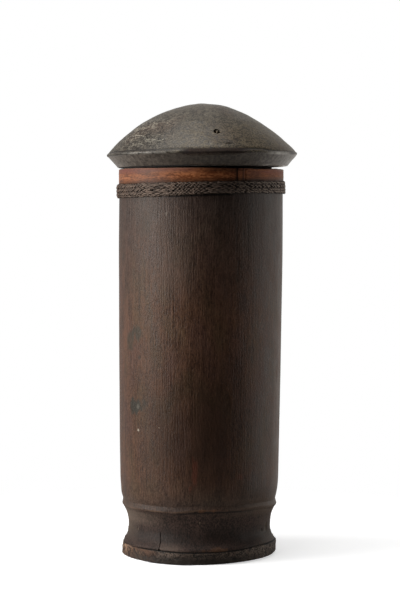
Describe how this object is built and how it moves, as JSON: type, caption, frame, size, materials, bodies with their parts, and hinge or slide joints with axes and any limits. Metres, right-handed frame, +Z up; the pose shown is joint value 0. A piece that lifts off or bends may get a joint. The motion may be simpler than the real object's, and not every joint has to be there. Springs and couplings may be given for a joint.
{
  "type": "lidded tube container",
  "caption": "Upright round container of a hollowed culm with waisted foot, base disc, rim hoop, plaited collar and domed lift-off lid.",
  "frame": {"origin": "centre of the base disc's underside", "axes": "+Z up along the tube's axis; the front, with the hoop's seam and one lid peg, faces -Y"},
  "size_m": [0.1516, 0.1516, 0.3593],
  "materials": {
    "tube_wood": "dark smoked culm, satin from handling",
    "base_wood": "rough, dry fibre",
    "hoop_wood": "red-brown, satin",
    "plait": "dark plaited cane",
    "lid_wood": "grey-brown, worn",
    "peg_wood": "dry"
  },
  "bodies": {
    "body": {"body_tube": "tube_wood", "base_disc": "base_wood", "base_pegs": "peg_wood", "rim_hoop": "hoop_wood", "plaited_collar": "plait"},
    "lid": {"lid_dome": "lid_wood", "lid_plug": "lid_wood", "lid_pegs": "peg_wood"}
  },
  "joints": [
    {"name": "lid_lift", "type": "slide", "parent": "body", "child": "lid", "axis": [0, 0, 1], "range_m": [0, 0.2]}
  ]
}
